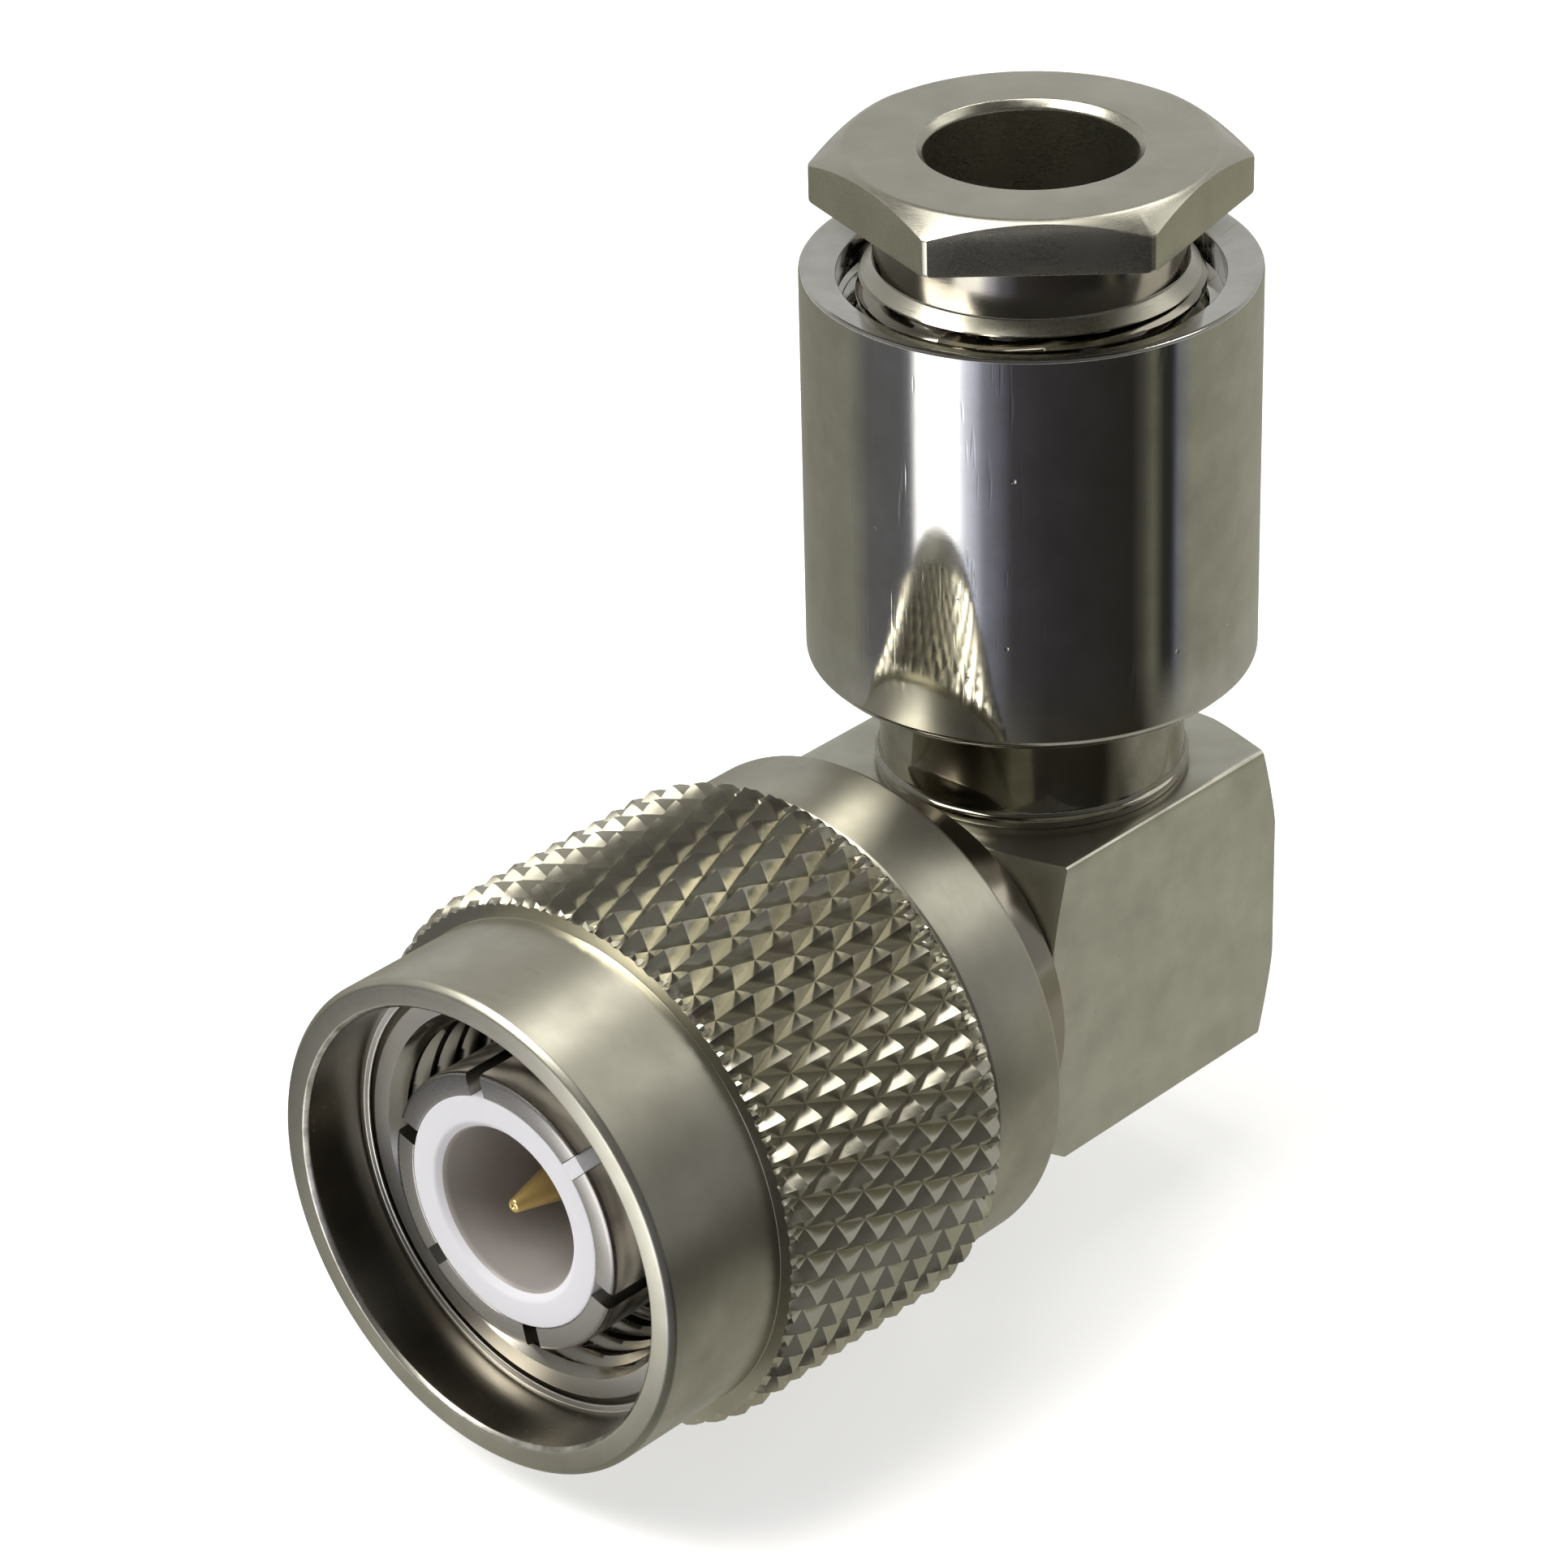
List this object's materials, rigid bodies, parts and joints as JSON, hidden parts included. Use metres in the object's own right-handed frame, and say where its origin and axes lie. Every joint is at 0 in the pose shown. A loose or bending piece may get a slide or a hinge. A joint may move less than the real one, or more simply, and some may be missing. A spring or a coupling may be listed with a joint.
{
  "type": "right-angle coaxial clamp plug",
  "caption": "Right-angle coaxial plug with a knurled screw coupling nut, gold centre pin, and a cable clamp with hexagon nut.",
  "frame": {"origin": "on the mating axis, at the front end of the outer contact", "axes": "+X along the mating axis, out of the coupling nut's mouth; +Z along the cable axis, the way the cable leaves"},
  "size_m": [0.03, 0.0164, 0.0324],
  "materials": {
    "brushed_nickel": "fine turned satin nickel",
    "polished_nickel": "bright nickel plate",
    "white_insulator": "smooth white fluoropolymer",
    "gold_plate": "gold plate",
    "spring_bronze": "plain bronze",
    "grey_rubber": "matt rubber"
  },
  "bodies": {
    "plug_body": {"angle_block": "brushed_nickel", "cable_barrel": "polished_nickel", "front_body": "polished_nickel", "outer_contact": "polished_nickel", "front_insulator": "white_insulator", "centre_contact": "gold_plate", "contact_bush": "white_insulator", "stem_sleeve": "white_insulator", "cable_insulator": "white_insulator", "cap_insulator": "white_insulator", "access_cap": "brushed_nickel", "nut_retaining_ring": "spring_bronze", "interface_gasket": "grey_rubber", "braid_clamp": "polished_nickel", "cable_gasket": "grey_rubber"},
    "coupling_nut": {"coupling_nut": "brushed_nickel"},
    "clamp_washer": {"thrust_washer": "polished_nickel"},
    "clamp_nut": {"clamp_nut": "brushed_nickel"}
  },
  "joints": [
    {"name": "coupling_nut_turn", "type": "hinge", "parent": "plug_body", "child": "coupling_nut", "pos_m": [0, 0, 0], "axis": [1, 0, 0], "continuous": true},
    {"name": "clamp_nut_travel", "type": "slide", "parent": "plug_body", "child": "clamp_washer", "axis": [0, 0, 1], "range_m": [-0.0018, 0.003], "deforming": ["cable_gasket"]},
    {"name": "clamp_nut_turn", "type": "hinge", "parent": "clamp_washer", "child": "clamp_nut", "pos_m": [-0.0223, 0, 0.02], "axis": [0, 0, 1], "range_deg": [-866, 1442]}
  ],
  "couplings": [
    {"joint": "clamp_nut_turn", "follows": "clamp_nut_travel", "rad_per_m": 8377.6}
  ]
}
